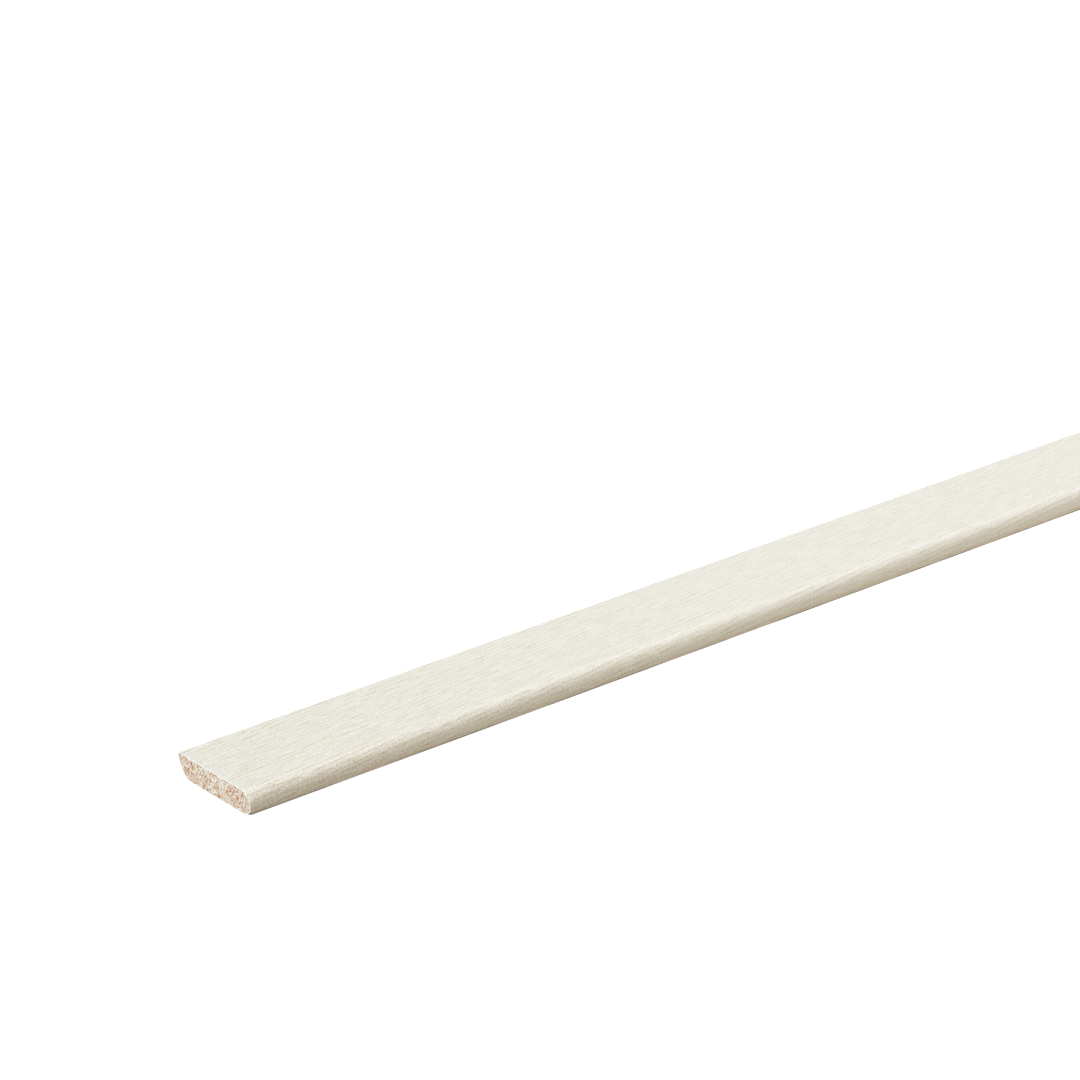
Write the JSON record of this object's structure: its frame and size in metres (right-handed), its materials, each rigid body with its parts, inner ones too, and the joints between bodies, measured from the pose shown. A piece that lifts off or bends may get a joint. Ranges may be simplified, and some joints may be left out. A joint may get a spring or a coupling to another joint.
{
  "type": "skirting board",
  "caption": "Straight skirting board with a wood core wrapped in a whitewashed wood-look foil, one long edge rounded and the other undercut, both ends cut square.",
  "frame": {"origin": "on the flat back, midway between the two ends and midway between the two long edges", "axes": "+X along the board, +Y towards the undercut edge, +Z out of the decorated front"},
  "size_m": [0.625, 0.058, 0.0123],
  "materials": {
    "bare_wood": "sawn softwood end grain, planed flat back, no coating",
    "decor_foil": "whitewashed wood-look foil with fine pores, satin"
  },
  "bodies": {
    "root": {"wood_core": "bare_wood", "decor_foil": "decor_foil"}
  },
  "joints": []
}
